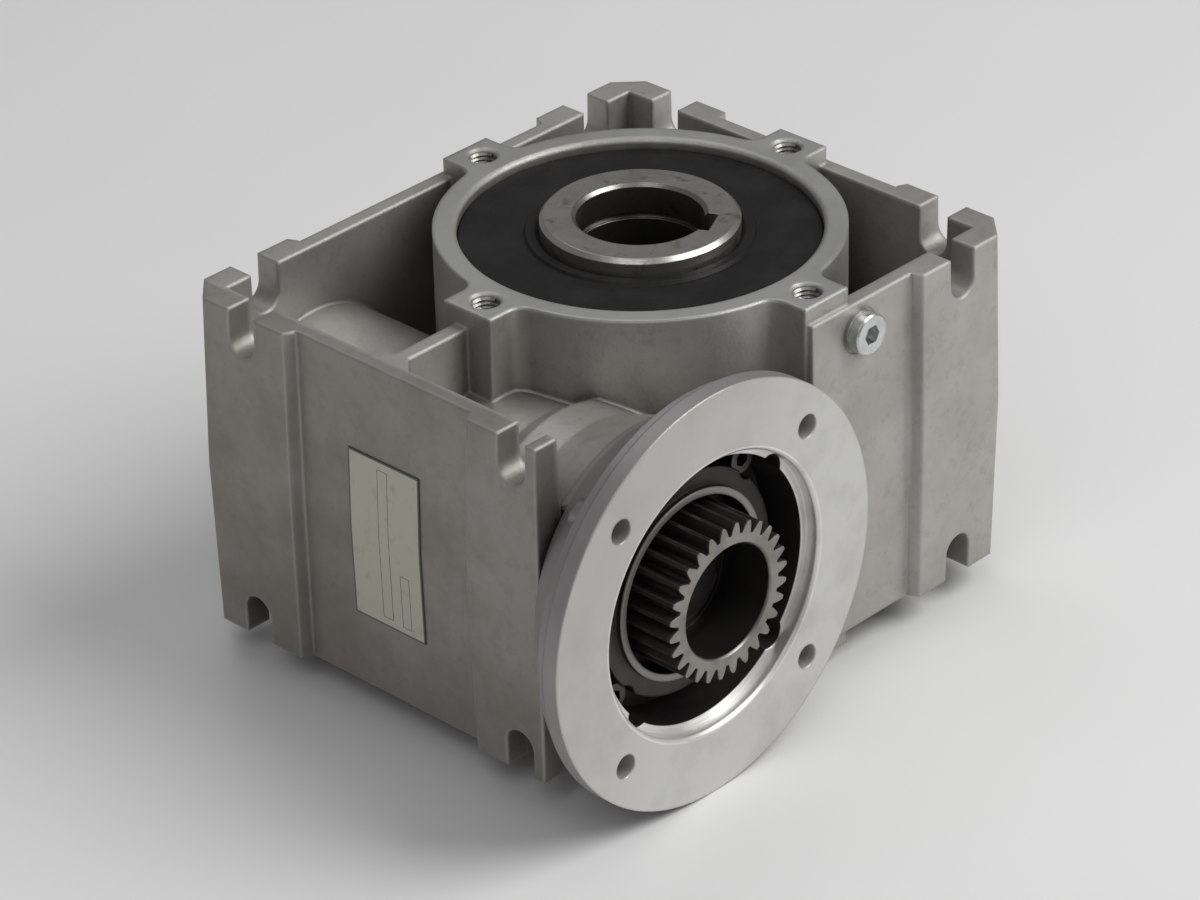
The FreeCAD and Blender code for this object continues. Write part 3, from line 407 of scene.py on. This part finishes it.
# Dark steel pieces: the toothed coupling hub on the worm shaft, the screws, keys
# and circlips, all oil-blackened and a little brown where they are bare.
def dark_steel(name, base, worn):
    """Oil-blackened steel, from its base colour to its worn one."""
    material, tree, shader = new_material(name)
    vector, parts = place(tree)
    cloud = ramp(tree, noise(tree, vector, 140.0, 5.0, 0.65), 0.42, 0.70)
    tree.links.new(mix(tree, cloud, base, worn), shader.inputs["Base Color"])
    shader.inputs["Metallic"].default_value = 0.85
    tree.links.new(blend_numbers(tree, cloud, 0.36, 0.50), shader.inputs["Roughness"])
    relief(tree, shader, noise(tree, vector, 700.0, 3.0), 0.2, 0.0001, 0.0003)
    return material


HUB_FACE = 0.0887
HUB_BORE_R = 0.0160
hub_steel, tree, shader = new_material("hub_steel")
vector, parts = place(tree)
radius = from_worm(tree, parts)
forward = times(tree, parts[1], -1.0)
cloud = ramp(tree, noise(tree, vector, 140.0, 5.0, 0.65), 0.42, 0.70)
end_face = ramp(tree, forward, HUB_FACE - 0.0007, HUB_FACE - 0.0001)
flank = mix(tree, cloud, (0.115, 0.11, 0.105), (0.075, 0.07, 0.064))
# Painted highlight, with rubbing: the edges of the hub are lightened.
edge_lit_and_rubbed = mix(tree, times(tree, edge_highlight_and_wear(tree, 0.0005), 0.5), flank, (0.30, 0.29, 0.27))
faced = mix(tree, end_face, edge_lit_and_rubbed, mix(tree, cloud, (0.27, 0.255, 0.235), (0.19, 0.175, 0.155)))
# Painted shade: the hub's bore is painted near black, apart from its end face.
in_bore = math_node(tree, "LESS_THAN", radius, HUB_BORE_R + 0.0002)
bore_shade_mask = times(tree, in_bore, rest_of(tree, end_face))
tree.links.new(mix(tree, bore_shade_mask, faced, (0.060, 0.058, 0.054)), shader.inputs["Base Color"])
shader.inputs["Metallic"].default_value = 0.85
tree.links.new(blend_numbers(tree, cloud, 0.34, 0.48), shader.inputs["Roughness"])
relief(tree, shader, noise(tree, vector, 700.0, 3.0), 0.2, 0.0001, 0.0003)
paint("coupling_hub", hub_steel)

blackened = dark_steel("blackened_steel", (0.10, 0.098, 0.095), (0.16, 0.15, 0.14))
for name in ("adapter_screws", "wheel_key", "hub_key", "hub_circlip", "rear_bore_circlip",
             "rear_shaft_circlip", "upper_circlip", "lower_circlip"):
    paint(name, blackened)


# Hollow output shaft: turned steel with bright chamfers and painted shade in its bore, darker further
# in. Inside are hub and spacers of the same stock, the dark worm, the bronze wheel and the bearings.
SHAFT_END = 0.0560
SHAFT_BORE_R = 0.0186
BORE_SHADE_DEPTH = 0.030
TURNING_MARKS = 14000.0


def turned_steel(name, bright, dull, bore_r, rust=0.0):
    """Lathe-turned steel; what is nearer to the axis than bore_r gets painted shade, darker further in
    from the end.
    """
    material, tree, shader = new_material(name)
    vector, parts = place(tree)
    radius = from_axis(tree, parts[0], parts[1])
    cloud = ramp(tree, noise(tree, vector, 110.0, 5.0, 0.65), 0.42, 0.72)
    spots = ramp(tree, noise(tree, vector, 170.0, 4.0, 0.6), 0.58, 0.68)
    bare = mix(tree, cloud, bright, dull)
    metal = mix(tree, times(tree, spots, rust), bare, (0.17, 0.10, 0.055))
    bore_shade_mask = rest_of(tree, ramp(tree, radius, bore_r, bore_r + 0.0003))
    below_end = math_node(tree, "SUBTRACT", SHAFT_END, math_node(tree, "ABSOLUTE", parts[2]))
    deep = ramp(tree, below_end, 0.0, BORE_SHADE_DEPTH)
    # Painted shade: the bore darkens further in from the shaft end.
    dark = times(tree, bore_shade_mask, blend_numbers(tree, deep, 0.45, 0.95))
    tree.links.new(mix(tree, dark, metal, (0.035, 0.032, 0.028)), shader.inputs["Base Color"])
    shader.inputs["Metallic"].default_value = 0.95
    tree.links.new(blend_numbers(tree, cloud, 0.28, 0.40), shader.inputs["Roughness"])
    marks = math_node(tree, "SINE", times(tree, radius, TURNING_MARKS))
    height = math_node(tree, "ADD", times(tree, marks, 0.2), noise(tree, vector, 500.0))
    relief(tree, shader, height, 0.12, 0.0001, 0.0004)
    return material


shaft_steel = turned_steel("shaft_steel", (0.50, 0.485, 0.46), (0.34, 0.32, 0.285), SHAFT_BORE_R, 0.6)
paint("hollow_shaft", shaft_steel)
inner_steel = turned_steel("inner_steel", (0.60, 0.59, 0.57), (0.48, 0.46, 0.44), 0.0)
for name in ("wheel_hub", "upper_spacer", "lower_spacer"):
    paint(name, inner_steel)
paint("worm_shaft", dark_steel("worm_steel", (0.060, 0.058, 0.055), (0.040, 0.038, 0.036)))
paint("worm_wheel", turned_steel("wheel_bronze", (0.66, 0.46, 0.20), (0.50, 0.33, 0.13), 0.0))
ground_steel = turned_steel("bearing_steel", (0.68, 0.68, 0.68), (0.58, 0.58, 0.58), 0.0)
for bearing in ("upper", "lower", "front", "rear"):
    for piece in ("outer_ring", "inner_ring", "rollers"):
        paint("%s_bearing_%s" % (bearing, piece), ground_steel)


# Shaft seals and end cap: black moulded rubber on steel shells, pressed into the
# housing. The output seals show fine moulded rings and a dusty, greyish film.
MOULD_RINGS = 2200.0


def seal_rubber(name, on_worm):
    """Black rubber with rings round the worm axis or round the output axis."""
    material, tree, shader = new_material(name)
    vector, parts = place(tree)
    dust = ramp(tree, noise(tree, vector, 55.0, 6.0, 0.7), 0.44, 0.74)
    black = mix(tree, dust, (0.006, 0.006, 0.006), (0.018, 0.017, 0.016))
    tree.links.new(black, shader.inputs["Base Color"])
    tree.links.new(blend_numbers(tree, dust, 0.42, 0.66), shader.inputs["Roughness"])
    shader.inputs["Specular IOR Level"].default_value = 0.26
    radius = from_worm(tree, parts) if on_worm else from_axis(tree, parts[0], parts[1])
    rings = math_node(tree, "SINE", times(tree, radius, MOULD_RINGS))
    moulded = math_node(tree, "ADD", times(tree, rings, 0.3), noise(tree, vector, 600.0))
    relief(tree, shader, moulded, 0.2, 0.0002, 0.0004)
    return material


output_rubber = seal_rubber("seal_rubber", False)
worm_rubber = seal_rubber("cap_rubber", True)
for name, material in (("upper_seal", output_rubber), ("lower_seal", output_rubber),
                       ("input_seal", worm_rubber), ("rear_end_cap", worm_rubber)):
    paint(name, material)


# Screw plug in the input-side wall: zinc-plated steel with a hexagon socket, on a
# washer of the same finish.
zinc, tree, shader = new_material("zinc_plate")
vector, parts = place(tree)
bloom = ramp(tree, noise(tree, vector, 260.0, 4.0), 0.42, 0.70)
tree.links.new(mix(tree, bloom, (0.60, 0.62, 0.62), (0.48, 0.49, 0.48)), shader.inputs["Base Color"])
shader.inputs["Metallic"].default_value = 0.9
tree.links.new(blend_numbers(tree, bloom, 0.24, 0.36), shader.inputs["Roughness"])
relief(tree, shader, bloom, 0.1, 0.0001, 0.0004)
for name in ("screw_plug", "plug_washer"):
    paint(name, zinc)


# Studio: a pale painted table, large soft lights and the camera of the photograph.
FLOOR_Z = -0.0601
TABLE_HALF = 6.0
edit = bmesh.new()
bmesh.ops.create_grid(edit, x_segments=8, y_segments=8, size=TABLE_HALF)
floor_mesh = bpy.data.meshes.new("table")
edit.to_mesh(floor_mesh)
edit.free()
floor = bpy.data.objects.new("table", floor_mesh)
floor.location = (0, 0, FLOOR_Z)
bpy.context.scene.collection.objects.link(floor)
table_paint, tree, shader = new_material("table_paint")
vector, parts = place(tree)
mottle = ramp(tree, noise(tree, vector, 3.0, 3.0), 0.3, 0.7)
tree.links.new(mix(tree, mottle, (0.79, 0.79, 0.785), (0.82, 0.82, 0.815)), shader.inputs["Base Color"])
shader.inputs["Roughness"].default_value = 0.45
floor_mesh.materials.append(table_paint)

# name, place, width, power and colour of each lamp
lamps = (
    ("key", (0.8, -1.15, 1.5), 1.5, 31.0, (1.0, 1.0, 0.99)),
    ("fill", (-1.5, -0.7, 1.9), 1.6, 9.0, (0.97, 0.98, 1.0)),
    ("top", (0.3, 1.1, 2.2), 1.6, 6.0, (1.0, 1.0, 1.0)),
)
for name, spot, size, power, colour in lamps:
    light = bpy.data.lights.new(name, "AREA")
    light.shape = "DISK"
    light.size = size
    light.energy = power
    light.color = colour
    lamp = bpy.data.objects.new(name, light)
    lamp.location = spot
    lamp.rotation_euler = (-Vector(spot)).to_track_quat("-Z", "Y").to_euler()
    bpy.context.scene.collection.objects.link(lamp)

world = bpy.data.worlds.new("studio")
bpy.context.scene.world = world
world.use_nodes = True
surround = world.node_tree.nodes["Background"]
surround.inputs["Color"].default_value = (0.80, 0.81, 0.82, 1.0)
surround.inputs["Strength"].default_value = 0.28

CAMERA_TURN = math.radians(-46.01)
CAMERA_TILT = math.radians(30.169)
CAMERA_ROLL = math.radians(-1.321)
CAMERA_REACH = 1.3785
CAMERA_SHIFT = (-0.0120, -0.01406)
CAMERA_LENS = 149.43
back = Vector((
    math.sin(CAMERA_TURN) * math.cos(CAMERA_TILT),
    -math.cos(CAMERA_TURN) * math.cos(CAMERA_TILT),
    math.sin(CAMERA_TILT),
))
level_right = Vector((math.cos(CAMERA_TURN), math.sin(CAMERA_TURN), 0))
level_up = back.cross(level_right)
right = math.cos(CAMERA_ROLL) * level_right + math.sin(CAMERA_ROLL) * level_up
up = -math.sin(CAMERA_ROLL) * level_right + math.cos(CAMERA_ROLL) * level_up
eye = back * CAMERA_REACH + right * CAMERA_SHIFT[0] + up * CAMERA_SHIFT[1]
camera_data = bpy.data.cameras.new("camera")
camera_data.lens = CAMERA_LENS
camera_data.sensor_width = 36.0
camera = bpy.data.objects.new("camera", camera_data)
camera.matrix_world = Matrix((
    (right.x, up.x, back.x, eye.x),
    (right.y, up.y, back.y, eye.y),
    (right.z, up.z, back.z, eye.z),
    (0, 0, 0, 1),
))
bpy.context.scene.collection.objects.link(camera)
bpy.context.scene.camera = camera
bpy.context.scene.view_settings.view_transform = "Standard"
